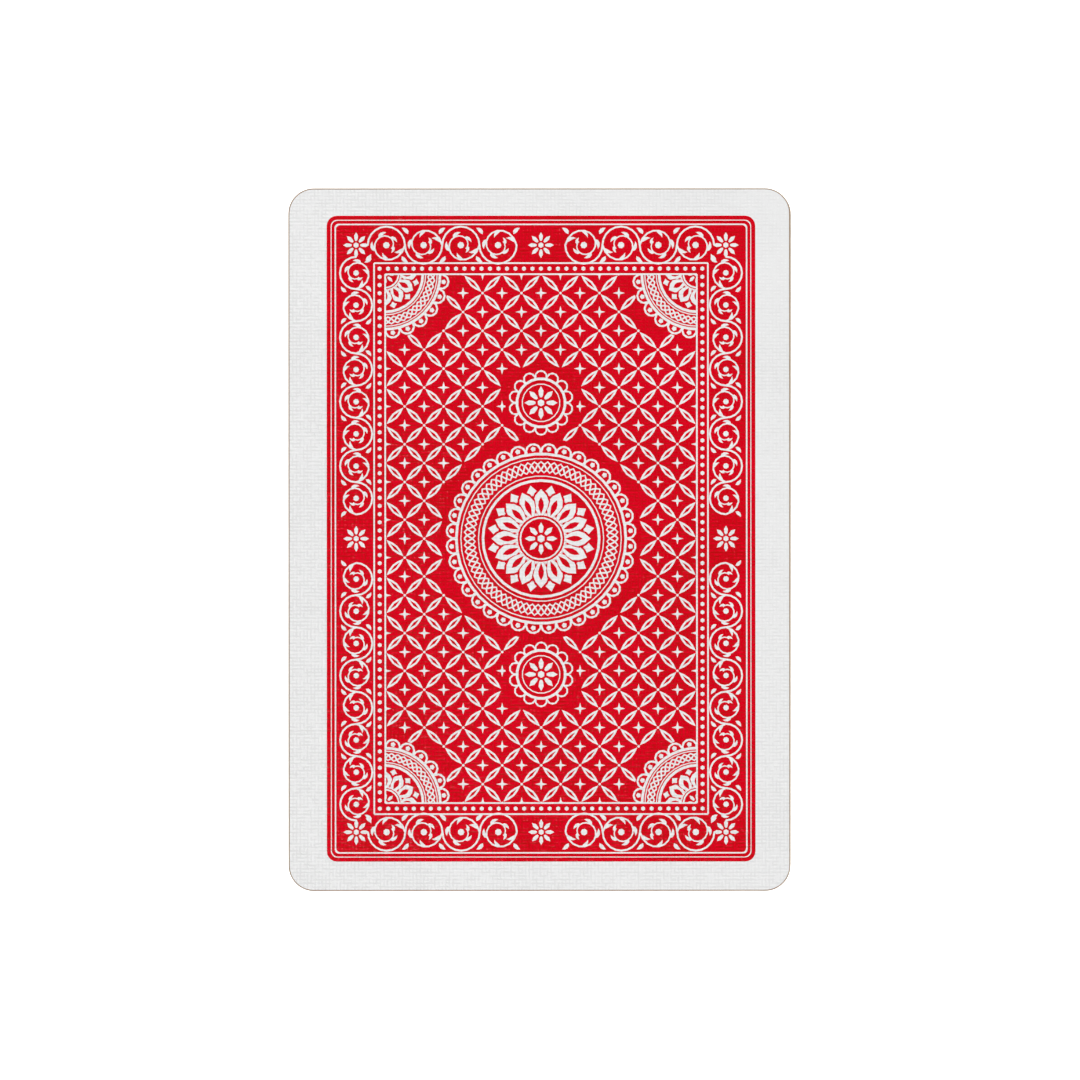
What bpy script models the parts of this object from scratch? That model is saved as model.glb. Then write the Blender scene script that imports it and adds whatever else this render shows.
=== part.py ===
"""A squared deck of playing cards, lying face down on a table, with every card a solid of its own.

Lengths are in metres and +Z is up. The origin is on the table under the middle of the deck, +X runs
across the cards and +Y along them. The cards are coated paper board, die-cut to poker size. They fan
out about one upright line, where a thumb pins them near the short edge that faces the player.
"""

import math

import bpy

# One card
CARD_WIDTH = 0.0635
CARD_LENGTH = 0.0889
CARD_THICKNESS = 0.00028
CORNER_RADIUS = 0.0032
CORNER_STEPS = 6

# How the cards lie on each other: the air that the embossed faces trap between two of them, and how
# far a hand-squared card still lies out of line
AIR_GAP = 0.00002
LOOSE_SHIFT = 0.00009
LOOSE_TURN_DEG = 0.05

# From the near short edge to the line that the cards fan out about
FAN_PIVOT_INSET = 0.020

# Names, from the face of the deck up: two suits climb from the ace and two come down to it
RANKS = (
    "ace", "two", "three", "four", "five", "six", "seven",
    "eight", "nine", "ten", "jack", "queen", "king",
)
CLIMBING_SUITS = ("spades", "diamonds")
FALLING_SUITS = ("clubs", "hearts")
JOKERS = ("joker_black", "joker_red")

# Steps of two sequences that never repeat, so that neighbouring cards lie out of line differently
SHIFT_STEP_X = 0.7549
SHIFT_STEP_Y = 0.5698
TURN_STEP = 0.6180

CARD_STOCK_COLOUR = (0.80, 0.80, 0.79, 1.0)
CARD_STOCK_ROUGHNESS = 0.42


def clear_scene():
    for old in list(bpy.data.objects):
        bpy.data.objects.remove(old, do_unlink=True)


def new_collection(name):
    collection = bpy.data.collections.new(name)
    bpy.context.scene.collection.children.link(collection)
    return collection


def card_stock():
    """White board with a smooth water-based coating."""
    material = bpy.data.materials.new("coated_card_stock")
    material.use_nodes = True
    shader = material.node_tree.nodes["Principled BSDF"]
    shader.inputs["Base Color"].default_value = CARD_STOCK_COLOUR
    shader.inputs["Roughness"].default_value = CARD_STOCK_ROUGHNESS
    shader.inputs["Metallic"].default_value = 0.0
    material.diffuse_color = CARD_STOCK_COLOUR
    return material


def card_names():
    """Every card's name in factory order, from the face of the deck up."""
    climbing = [f"{rank}_of_{suit}" for suit in CLIMBING_SUITS for rank in RANKS]
    falling = [f"{rank}_of_{suit}" for suit in FALLING_SUITS for rank in reversed(RANKS)]
    return [*climbing, *falling, *JOKERS]


def card_outline():
    """Points round a card, counter-clockwise from above, with the fan's line at (0, 0)."""
    right = CARD_WIDTH / 2 - CORNER_RADIUS
    far = CARD_LENGTH - FAN_PIVOT_INSET - CORNER_RADIUS
    near = CORNER_RADIUS - FAN_PIVOT_INSET
    corner_centres = ((right, far), (-right, far), (-right, near), (right, near))
    points = []
    for quarter, (x, y) in enumerate(corner_centres):
        for step in range(CORNER_STEPS + 1):
            angle = math.pi / 2 * (quarter + step / CORNER_STEPS)
            points.append((x + CORNER_RADIUS * math.cos(angle), y + CORNER_RADIUS * math.sin(angle)))
    return points


def card_curve(material):
    """The die-cut card as a filled outline, extruded to the board's thickness."""
    curve = bpy.data.curves.new("card", "CURVE")
    curve.dimensions = "2D"
    curve.fill_mode = "BOTH"
    curve.extrude = CARD_THICKNESS / 2
    outline = card_outline()
    spline = curve.splines.new("POLY")
    spline.points.add(len(outline) - 1)
    for point, (x, y) in zip(spline.points, outline):
        point.co = (x, y, 0.0, 1.0)
    spline.use_cyclic_u = True
    curve.materials.append(material)
    return curve


def spread(index, step):
    """A value from -1 to 1 that jumps about from card to card, the same on every run."""
    return 2 * ((index * step) % 1.0) - 1


def fan_line(collection):
    """The upright line that every card turns about."""
    empty = bpy.data.objects.new("fan_line", None)
    empty.location = (0.0, FAN_PIVOT_INSET - CARD_LENGTH / 2, 0.0)
    collection.objects.link(empty)
    return empty


def lay_card(name, index, curve, pivot, collection):
    """Puts one card on those below it, a hair out of line with them."""
    card = bpy.data.objects.new(name, curve)
    card.parent = pivot
    card.location = (
        LOOSE_SHIFT * spread(index, SHIFT_STEP_X),
        LOOSE_SHIFT * spread(index, SHIFT_STEP_Y),
        index * (CARD_THICKNESS + AIR_GAP) + CARD_THICKNESS / 2,
    )
    card.rotation_euler.z = math.radians(LOOSE_TURN_DEG) * spread(index, TURN_STEP)
    collection.objects.link(card)


def main():
    clear_scene()
    deck = new_collection("playing_card_deck")
    curve = card_curve(card_stock())
    pivot = fan_line(deck)
    for index, name in enumerate(card_names()):
        lay_card(name, index, curve, pivot, deck)


main()
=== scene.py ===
"""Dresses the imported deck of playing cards: printed backs and faces on linen-embossed board with cut edges.

The file is laid out as a Blender add-on, with one operator for each group of like cards and one for the
stage. Sizes are in metres in the frame's own axes: +Z is up, the cards lie face down and their long side runs
along +Y. A print is a list of flat shapes in painting order, each with its ink, and a later shape covers an
earlier one.
"""

import functools
import math

import bpy
from bpy.props import FloatProperty, FloatVectorProperty, PointerProperty
from mathutils import Matrix, Vector
from mathutils.geometry import delaunay_2d_cdt, interpolate_bezier


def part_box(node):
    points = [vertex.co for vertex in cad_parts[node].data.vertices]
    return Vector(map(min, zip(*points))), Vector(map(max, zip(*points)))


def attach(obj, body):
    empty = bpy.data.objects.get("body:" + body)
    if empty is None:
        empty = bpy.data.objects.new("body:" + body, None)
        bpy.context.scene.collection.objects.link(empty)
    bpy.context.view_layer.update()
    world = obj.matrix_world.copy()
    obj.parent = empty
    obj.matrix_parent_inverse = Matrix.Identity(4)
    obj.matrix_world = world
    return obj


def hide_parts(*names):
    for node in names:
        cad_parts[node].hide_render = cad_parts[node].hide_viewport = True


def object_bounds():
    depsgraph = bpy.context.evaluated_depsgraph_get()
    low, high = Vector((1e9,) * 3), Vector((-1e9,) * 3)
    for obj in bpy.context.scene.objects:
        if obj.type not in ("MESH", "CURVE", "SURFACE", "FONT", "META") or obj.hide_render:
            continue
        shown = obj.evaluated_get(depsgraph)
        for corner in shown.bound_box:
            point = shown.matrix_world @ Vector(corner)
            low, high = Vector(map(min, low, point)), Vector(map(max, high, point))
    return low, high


bl_info = {
    "name": "Playing Card Deck",
    "version": (1, 0, 0),
    "blender": (4, 5, 0),
    "location": "View3D > Sidebar > Card Deck",
    "description": "Prints, embosses and stages a deck of playing cards around its packed frame",
    "category": "Object",
}

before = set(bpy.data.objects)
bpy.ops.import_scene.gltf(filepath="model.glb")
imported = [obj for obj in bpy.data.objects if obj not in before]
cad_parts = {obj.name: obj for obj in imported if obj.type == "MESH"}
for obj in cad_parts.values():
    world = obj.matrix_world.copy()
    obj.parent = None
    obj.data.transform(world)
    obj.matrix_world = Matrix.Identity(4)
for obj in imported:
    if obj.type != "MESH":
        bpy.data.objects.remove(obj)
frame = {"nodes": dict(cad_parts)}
CAD_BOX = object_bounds()

MM = 0.001
QUARTER = math.pi / 2
ROUNDNESS = 0.03 * MM  # how far a printed curve's chords may stray from it
WELD = 0.002 * MM  # printed points closer than this are one point

# What the faces show, with the places of a number card's pips as shares of the outer column and row
LABELS = {
    "ace": "A", "two": "2", "three": "3", "four": "4", "five": "5", "six": "6", "seven": "7",
    "eight": "8", "nine": "9", "ten": "10", "jack": "J", "queen": "Q", "king": "K",
}
MIDDLE = [(0, 0)]
ENDS = [(0, 1), (0, -1)]
CORNERS = [(-1, 1), (1, 1), (-1, -1), (1, -1)]
SIDES = [(-1, 0), (1, 0)]
INNER_ROWS = [(-1, 1 / 3), (1, 1 / 3), (-1, -1 / 3), (1, -1 / 3)]
PIP_PLACES = {
    "two": ENDS,
    "three": ENDS + MIDDLE,
    "four": CORNERS,
    "five": CORNERS + MIDDLE,
    "six": CORNERS + SIDES,
    "seven": CORNERS + SIDES + [(0, 1 / 2)],
    "eight": CORNERS + SIDES + [(0, 1 / 2), (0, -1 / 2)],
    "nine": CORNERS + INNER_ROWS + MIDDLE,
    "ten": CORNERS + INNER_ROWS + [(0, 2 / 3), (0, -2 / 3)],
}
COURT_RANKS = ("jack", "queen", "king")
RED_SUITS = ("hearts", "diamonds")

# Letters are cleaned of edges shorter than this and then drawn bolder all round, in shares of their height
SHORTEST_EDGE = 0.012
LETTER_WEIGHT = 0.02

# The leaves on a coil of the vine: how far along it, on which side, and their length and width in coil radii
COIL_LEAVES = (
    (0.02, 1, 0.62, 0.19),
    (0.2, 1, 0.56, 0.17),
    (0.38, -1, 0.6, 0.2),
    (0.56, -1, 0.55, 0.19),
    (0.74, -1, 0.5, 0.17),
    (0.92, -1, 0.42, 0.15),
)


def lie(node):
    """A frame card's middle, and its turn about the upright, which its long side shows."""
    low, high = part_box(node)
    rightward = [side for side in frame["nodes"][node].data.polygons if side.normal.x > 0.99]
    normal = max(rightward, key=lambda side: side.area).normal
    return (low + high) / 2, math.atan2(normal.y, normal.x)


def card_size(node):
    """A card's width, length and thickness along its own sides."""
    _, turn = lie(node)
    straight = Matrix.Rotation(-turn, 3, "Z")
    corners = [straight @ vertex.co for vertex in frame["nodes"][node].data.vertices]
    return [max(corner[i] for corner in corners) - min(corner[i] for corner in corners) for i in range(3)]


TOP_CARD = max(frame["nodes"], key=lambda node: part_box(node)[1].z)
CARD_WIDTH, CARD_LENGTH, CARD_THICKNESS = card_size(TOP_CARD)


def linear(code):
    """A colour's linear red, green, blue and alpha from its sRGB hex code."""
    shares = [int(code[i:i + 2], 16) / 255 for i in (1, 3, 5)]
    return (*(s / 12.92 if s <= 0.04045 else ((s + 0.055) / 1.055) ** 2.4 for s in shares), 1.0)


def length(name, description, millimetres):
    return FloatProperty(
        name=name, description=description, default=millimetres * MM, unit="LENGTH", precision=5
    )


def colour(name, description, code):
    return FloatVectorProperty(
        name=name, description=description, default=linear(code), subtype="COLOR", size=4
    )


def amount(name, description, value, unit="NONE"):
    return FloatProperty(name=name, description=description, default=value, unit=unit)


class BoardSettings(bpy.types.PropertyGroup):
    """The board that the cards are cut from"""

    corner_radius: length("Corner radius", "Radius of the die-cut corners", 3.2)
    allowance: length("Allowance", "How far the printed card stays inside the frame's plain one", 0.004)
    lower_trim: length("Lower trim", "How much less a card under the top one reaches to each side", 0.0475)
    rim_width: length("Rim width", "How far the cut rolls over each printed side", 0.14)
    rim_drop: length("Rim drop", "How deep the rolled-over edge falls", 0.06)
    linen_pitch: length("Linen pitch", "Distance from thread to thread of the embossed linen", 0.46)
    linen_depth: length("Linen depth", "Depth of the embossed linen", 0.012)
    cloud_size: length("Cloud size", "Size of the patches where the board is lighter or darker", 14.0)
    # Painted highlight and shade of the linen: the board is coloured lighter on its threads and darker
    # between them, and its cloudy tone moves between the same two colours
    stock_light: colour("Stock, raised", "Coated white board on the raised threads", "#EDEDED")
    stock_dark: colour("Stock, sunk", "Coated white board between the threads", "#DDDDDD")
    # The fibres' tone varies at random, and the darker colour falls where their bump lies lowest, which is
    # painted shade
    edge_light: colour("Cut edge, light", "Clean fibres of the cut edge", "#DACEBE")
    edge_dark: colour("Cut edge, dark", "Fibres of the cut edge that lie deeper", "#BFB09D")
    # Painted shade: the rolled-over edges are coloured darker than the cut wall
    shaded_rim_colour: colour("Handled edge", "Rolled-over edges that hands have darkened", "#8C745D")
    core_colour: colour("Core", "Opaque paste between the two plies", "#948A82")


class BackSettings(bpy.types.PropertyGroup):
    """The printed back"""

    field_width: length("Field width", "Width of the red field", 54.23)
    field_length: length("Field length", "Length of the red field", 81.71)
    field_corner: length("Field corner", "Corner radius of the red field", 1.3)
    shift_right: length("Shift right", "How far the print sits off the middle of the card", 0.21)
    shift_up: length("Shift up", "How far the print sits above the middle of the card", 0.13)
    hairline: length("Hairline", "Width of the finest printed lines", 0.13)
    line: length("Line", "Width of the common printed lines", 0.20)
    bold_line: length("Bold line", "Width of the heavy printed lines", 0.33)
    band_inset: length("Band inset", "From the field's edge to the vine band", 1.45)
    band_width: length("Band width", "Width of the vine band", 4.55)
    bead_band: length("Bead band", "Width of the beaded line inside the vine band", 1.4)
    bead_pitch: length("Bead pitch", "Distance from bead to bead", 1.05)
    lattice_pitch: length("Lattice pitch", "Distance from row to row of the petal lattice", 2.45)
    medallion_radius: length("Medallion radius", "Radius of the middle medallion", 11.4)
    corner_radius: length("Corner medallion radius", "Radius of the quarter medallions in the corners", 7.4)
    pendant_radius: length("Pendant radius", "Radius of the rosettes above and below the medallion", 3.5)
    # Painted highlight and shade of the linen: the red is lighter on the threads and darker between them
    red_light: colour("Red, raised", "Red ink worn thin on the raised threads", "#DE0424")
    red_dark: colour("Red, sunk", "Red ink pooled between the threads", "#B80003")


class FaceSettings(bpy.types.PropertyGroup):
    """The printed faces"""

    pip_height: length("Pip height", "Height of a number card's pips", 12.0)
    column: length("Column", "From the middle to the outer column of pips", 12.4)
    row: length("Row", "From the middle to the outer row of pips", 29.2)
    index_height: length("Index height", "Height of the corner numbers and letters", 6.2)
    index_side: length("Index from side", "From the long edge to the middle of the index", 5.4)
    index_end: length("Index from end", "From the short edge to the middle of the index", 7.4)
    small_pip: length("Small pip", "Height of the pip under the index", 4.8)
    panel_width: length("Court panel width", "Width of a court card's framed panel", 40.0)
    panel_length: length("Court panel length", "Length of a court card's framed panel", 69.0)
    # Painted highlight and shade of the linen: each ink is lighter on the threads and darker between them
    black_light: colour("Black, raised", "Black ink on the raised threads", "#2B2A2C")
    black_dark: colour("Black, sunk", "Black ink between the threads", "#161517")
    yellow_light: colour("Yellow, raised", "Yellow ink on the raised threads", "#E9B93A")
    yellow_dark: colour("Yellow, sunk", "Yellow ink between the threads", "#D9A322")
    blue_light: colour("Blue, raised", "Blue ink on the raised threads", "#2F5CA0")
    blue_dark: colour("Blue, sunk", "Blue ink between the threads", "#234A88")


class StageSettings(bpy.types.PropertyGroup):
    """Camera, floor and light"""

    frame_width: length("Frame width", "What the picture spans at the top card", 136.63)
    aim_right: length("Aim right", "How far the camera stands right of the top card's middle", 0.075)
    aim_near: length("Aim near", "How far the camera stands on the near side of the top card's middle", 0.046)
    lens: amount("Lens", "Focal length in millimetres", 100.0, "CAMERA")
    floor_size: length("Floor size", "Radius of the floor", 1000.0)
    floor_colour: colour("Floor", "Opal acrylic of the light table", "#F6F6F4")
    floor_glow: amount("Floor glow", "Light that the table gives by itself", 0.6)
    sky_edge: amount("Sky edge", "Brightness of the surround at eye level", 1.0)
    sky_top: amount("Sky top", "Brightness of the surround overhead", 0.03)
    light_distance: length("Light distance", "From the deck to each softbox", 1000.0)
    light_size: length("Light size", "Side of each softbox", 600.0)
    light_height: FloatProperty(
        name="Light height", description="Angle of the softboxes above the table",
        default=math.radians(36), subtype="ANGLE",
    )
    far_power: amount("Far power", "Softbox at the far edge", 5.4, "POWER")
    near_power: amount("Near power", "Softbox at the near edge", 4.2, "POWER")
    side_power: amount("Side power", "Softboxes at the sides", 2.75, "POWER")


# Flat shapes and pen lines, as lists of points


def polar(centre, radius, angle):
    return (centre[0] + radius * math.cos(angle), centre[1] + radius * math.sin(angle))


def chords(radius, turn):
    """How many straight pieces a printed arc needs."""
    step = 2 * math.acos(1 - min(ROUNDNESS / radius, 0.2))
    return max(2, math.ceil(abs(turn) / step))


def arc(centre, radius, start, end):
    count = chords(radius, end - start)
    return [polar(centre, radius, start + (end - start) * i / count) for i in range(count + 1)]


def disc(centre, radius, sides):
    return [polar(centre, radius, math.tau * (i + 0.5) / sides) for i in range(sides)]


def box(x, y, half_width, half_height):
    """A rectangle round (x, y)."""
    return [(x + i * half_width, y + j * half_height) for i, j in ((-1, -1), (1, -1), (1, 1), (-1, 1))]


def lozenge(x, y, half_width, half_height):
    return [(x - half_width, y), (x, y - half_height), (x + half_width, y), (x, y + half_height)]


def rounded_rectangle(half_width, half_length, radius, steps=12):
    """Points round a rectangle, counter-clockwise from its right side."""
    points = []
    for quarter, (x, y) in enumerate(((1, 1), (-1, 1), (-1, -1), (1, -1))):
        centre = (x * (half_width - radius), y * (half_length - radius))
        points += [polar(centre, radius, QUARTER * (quarter + i / steps)) for i in range(steps + 1)]
    return points


def both_sides(outline):
    """An outline from its right half, which runs from the foot up to a point on the middle line."""
    return outline + [(-x, y) for x, y in outline[-2::-1]]


def sweep(start, heading, run, turn, count):
    """Points along a curve that leaves start on heading and turns evenly over its run."""
    points = [start]
    for i in range(count):
        points.append(polar(points[-1], run / count, heading + turn * (i + 0.5) / count))
    return points


def stroke(path, widths):
    """The outline of a pen line along path, with the pen's width at each point."""
    left, right = [], []
    for i, at in enumerate(path):
        before, after = path[max(i - 1, 0)], path[min(i + 1, len(path) - 1)]
        across = math.atan2(after[1] - before[1], after[0] - before[0]) + QUARTER
        left.append(polar(at, widths[i] / 2, across))
        right.append(polar(at, -widths[i] / 2, across))
    return left + right[::-1]


def line(path, width):
    return stroke(path, [width] * len(path))


def leaf(start, heading, run, width, turn=0.0, count=5, fullness=0.8):
    """A pointed leaf. Its widest place is nearer the tip the higher its fullness."""
    path = sweep(start, heading, run, turn, count)
    widths = [width * math.sin(math.pi * (i / count) ** fullness) for i in range(count + 1)]
    outline = stroke(path, widths)
    return outline[:count + 1] + outline[count + 2:-1]


def twice_area(outline):
    return sum(a[0] * b[1] - b[0] * a[1] for a, b in zip(outline, outline[1:] + outline[:1]))


def grown(outline, by):
    """An outline drawn larger by the same width all round."""
    points = outline if twice_area(outline) > 0 else outline[::-1]
    larger = []
    for i, at in enumerate(points):
        before, after = points[i - 1], points[(i + 1) % len(points)]
        coming = math.atan2(at[1] - before[1], at[0] - before[0])
        going = math.atan2(after[1] - at[1], after[0] - at[0])
        half_turn = (going - coming + math.pi) % math.tau / 2 - QUARTER
        larger.append(polar(at, by / max(math.cos(half_turn), 0.4), coming + half_turn - QUARTER))
    return larger


def cleaned(outline, least):
    """An outline without points on straight runs or closer together than the least distance."""
    bent = [
        at for before, at, after in zip(outline[-1:] + outline[:-1], outline, outline[1:] + outline[:1])
        if abs(twice_area([before, at, after])) > 1e-5
    ]
    spaced = bent[:1]
    for at in bent[1:]:
        if min(math.dist(at, spaced[0]), math.dist(at, spaced[-1])) > least:
            spaced.append(at)
    return spaced


# Shapes with their inks


def halves(start, end):
    """Two spans for one, because the outline of a pen line can't close on itself."""
    middle = (start + end) / 2
    return ((start, middle), (middle, end))


def ring(ink, centre, radius, start, end, width):
    return [(ink, line(arc(centre, radius, *span), width)) for span in halves(start, end)]


def wedge(ink, centre, radius, start, end):
    return [(ink, [centre, *arc(centre, radius, *span)]) for span in halves(start, end)]


def outlined(ink, outline, pen):
    """A shape filled with one ink inside a black line."""
    return [("black", grown(outline, pen)), (ink, outline)]


def placed(shapes, at, size=1.0, turn=0.0):
    """Shapes that were drawn round (0, 0), scaled, turned and set down at a place."""
    c, s = size * math.cos(turn), size * math.sin(turn)
    return [
        (ink, [(at[0] + c * x - s * y, at[1] + s * x + c * y) for x, y in outline])
        for ink, outline in shapes
    ]


def four_ways(shapes):
    """A quarter of the print and its three mirror images."""
    return [
        (ink, [(x * across, y * along) for x, y in outline])
        for across, along in ((1, 1), (-1, 1), (-1, -1), (1, -1))
        for ink, outline in shapes
    ]


def flower(ink, ground, centre, radius, petals, heart=0.36):
    """Petals round a ringed heart."""
    shapes = []
    for i in range(petals):
        angle = math.tau * i / petals
        start = polar(centre, 0.2 * radius, angle)
        shapes.append((ink, leaf(start, angle, 0.8 * radius, 2.6 * radius / petals, count=3, fullness=1.2)))
    shapes.append((ground, disc(centre, heart * radius, 8)))
    shapes.append((ink, disc(centre, 0.6 * heart * radius, 6)))
    return shapes


def curl(ink, start, heading, run, turn, width):
    """A short tendril that thins towards a berry."""
    path = sweep(start, heading, run, turn, 3)
    pen = [width * (1 - 0.17 * i) for i in range(4)]
    return [(ink, stroke(path, pen)), (ink, disc(path[-1], 0.45 * width, 5))]


def coil(ink, centre, radius, start, sense, turns, width):
    """A tendril that winds inwards from a stem to a berry, with leaves that lean along it."""
    whole = sense * math.tau * turns
    inner = 0.33 * radius

    def reach(share):
        return radius + (inner - radius) * share ** 0.75

    count = chords(0.6 * radius, whole)
    path = [polar(centre, reach(i / count), start + whole * i / count) for i in range(count + 1)]
    shapes = [(ink, stroke(path, [width * (1 - 0.4 * i / count) for i in range(count + 1)]))]
    for share, side, run, leaf_width in COIL_LEAVES:
        at = polar(centre, reach(share), start + whole * share)
        heading = start + whole * share + sense * (QUARTER + side * 0.4)
        shapes.append((ink, leaf(at, heading, run * radius, leaf_width * radius, 1.2 * sense, count=4)))
    shapes.append((ink, disc(centre, 0.18 * radius, 7)))
    return shapes


# The back


def plait(ink, centre, radius, depth, waves, strands, start, end, width):
    """Strands that wave in and out across one another round a ring."""
    shapes = []
    for strand in range(strands):
        for low, high in halves(start, end):
            count = round((high - low) / math.tau * waves * 6)
            path = []
            for i in range(count + 1):
                angle = low + (high - low) * i / count
                swing = depth * math.cos(waves * angle + math.tau * strand / strands)
                path.append(polar(centre, radius + swing, angle))
            shapes.append((ink, line(path, width)))
    return shapes


def medallion(pens, centre, radius, start, end, lobes, petals):
    """Rings of scallops, plait and petals round an open flower, or the part of them between two angles."""
    hairline, thin, bold = pens
    shapes = wedge("red", centre, 1.12 * radius, start, end)
    pitch = math.tau / lobes
    for i in range(math.floor(start / pitch), math.ceil(end / pitch)):
        angle = pitch * (i + 0.5)
        at = polar(centre, 0.97 * radius, angle)
        size = 0.53 * radius * pitch
        shapes.append(("stock", disc(at, size, 11)))
        shapes.append(("red", disc(at, size - 1.2 * thin, 9)))
        shapes.append(("stock", disc(polar(at, 0.28 * size, angle), 0.32 * size, 5)))
    shapes += wedge("red", centre, 0.955 * radius, start, end)
    for share, pen in ((0.94, bold), (0.89, hairline), (0.695, hairline), (0.645, bold)):
        shapes += ring("stock", centre, share * radius, start, end, pen)
    shapes += plait("stock", centre, 0.793 * radius, 0.06 * radius, lobes * 2 // 3, 3, start, end, thin)
    step = math.tau / petals
    wide = 0.44 * radius * step
    for offset, tip in ((0.5, 0.6), (0.0, 0.55)):
        for i in range(math.floor(start / step), math.ceil(end / step) + 1):
            angle = step * (i + offset)
            base = polar(centre, 0.2 * radius, angle)
            run = (tip - 0.2) * radius
            if offset == 0.0:
                shapes.append(("red", leaf(base, angle, run + bold, wide + 2 * thin, fullness=1.3)))
            shapes.append(("stock", leaf(base, angle, run, wide, fullness=1.3)))
            vein = polar(centre, 0.27 * radius, angle)
            shapes.append(("red", leaf(vein, angle, 0.55 * run, 0.38 * wide, count=4, fullness=1.2)))
    shapes += wedge("red", centre, 0.26 * radius, start, end)
    shapes += ring("stock", centre, 0.23 * radius, start, end, thin)
    return shapes + flower("stock", "red", centre, 0.18 * radius, 8, 0.4)


def rosette(pens, centre, radius, lobes, petals):
    """A small medallion: scallops and a ring round one flower."""
    hairline, thin, bold = pens
    shapes = [("red", disc(centre, 1.3 * radius, 24))]
    size = 0.53 * radius * math.tau / lobes
    for i in range(lobes):
        at = polar(centre, 0.95 * radius, math.tau * (i + 0.5) / lobes)
        shapes.append(("stock", disc(at, size, 10)))
        shapes.append(("red", disc(at, size - thin, 8)))
    shapes.append(("stock", disc(centre, 0.92 * radius, 24)))
    shapes.append(("red", disc(centre, 0.92 * radius - bold, 24)))
    shapes.append(("stock", disc(centre, 0.7 * radius, 20)))
    shapes.append(("red", disc(centre, 0.7 * radius - hairline, 20)))
    return shapes + flower("stock", "red", centre, 0.6 * radius, petals)


def lattice_quarter(half_width, half_length, pitch, clearings):
    """Petals that meet in fours, with a small star in each gap, but none of them in the clearings.

    A clearing is a middle and a radius, kept for a medallion.
    """
    columns, rows = round(half_width / pitch), round(half_length / pitch)
    across, along = half_width / columns, half_length / rows
    slant, run = math.atan2(along, across), math.hypot(along, across)
    shapes = []

    # Ink, start, length and width in shares of the run from crossing to crossing, and chords
    petal_and_core = (("stock", 0.06, 0.88, 0.235, 4), ("red", 0.25, 0.5, 0.1, 2))

    def is_clear(at, room=0.0):
        return all(math.dist(at, middle) > radius + room for middle, radius in clearings)

    for i in range(columns):
        for j in range(rows):
            falling = (i + j) % 2
            low = ((i + falling) * across, j * along)
            heading = math.pi - slant if falling else slant
            if is_clear(polar(low, 0.5 * run, heading)):
                for ink, start, share, width, count in petal_and_core:
                    at = polar(low, start * run, heading)
                    petal = leaf(at, heading, share * run, width * run, count=count, fullness=1.0)
                    shapes.append((ink, petal))
    for i in range(columns + 1):
        for j in range(rows + 1):
            at = (i * across, j * along)
            if (i + j) % 2 == 0 and is_clear(at, 0.3 * pitch):
                shapes.append(("stock", disc(at, 0.075 * pitch, 5)))
            elif (i + j) % 2 and is_clear(at):
                tips = [polar(at, (0.31, 0.09)[k % 2] * pitch, math.pi / 4 * k) for k in range(8)]
                shapes.append(("stock", tips))
    return shapes


def vine_run(pen, corner, along_length, room):
    """Half of one side's vine: coils from the corner to the side's middle, leaning now out and now in."""
    span = corner[1 if along_length else 0] - 2 * room
    count = round(span / (1.9 * room))
    radius = span / count / 2
    heading = QUARTER if along_length else 0.0
    sense = -1 if along_length else 1
    shapes = []
    for k in range(count):
        away = 1.35 * room + span - radius * (2 * k + 1)
        centre = (corner[0], away) if along_length else (away, corner[1])
        half_turn = sense * math.pi
        shapes.append(("stock", line(arc(centre, radius, heading, heading + half_turn), pen)))
        shapes += coil("stock", centre, radius, heading + half_turn, sense, 1.1, pen)
        outward = heading - sense * QUARTER
        for side in (1, -1):
            at = polar(centre, 1.02 * radius, outward + 0.95 * side)
            bract = leaf(at, outward + 0.35 * side, 0.5 * radius, 0.22 * radius, 0.9 * side, count=4)
            shapes.append(("stock", bract))
        sense = -sense
    return shapes


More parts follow.
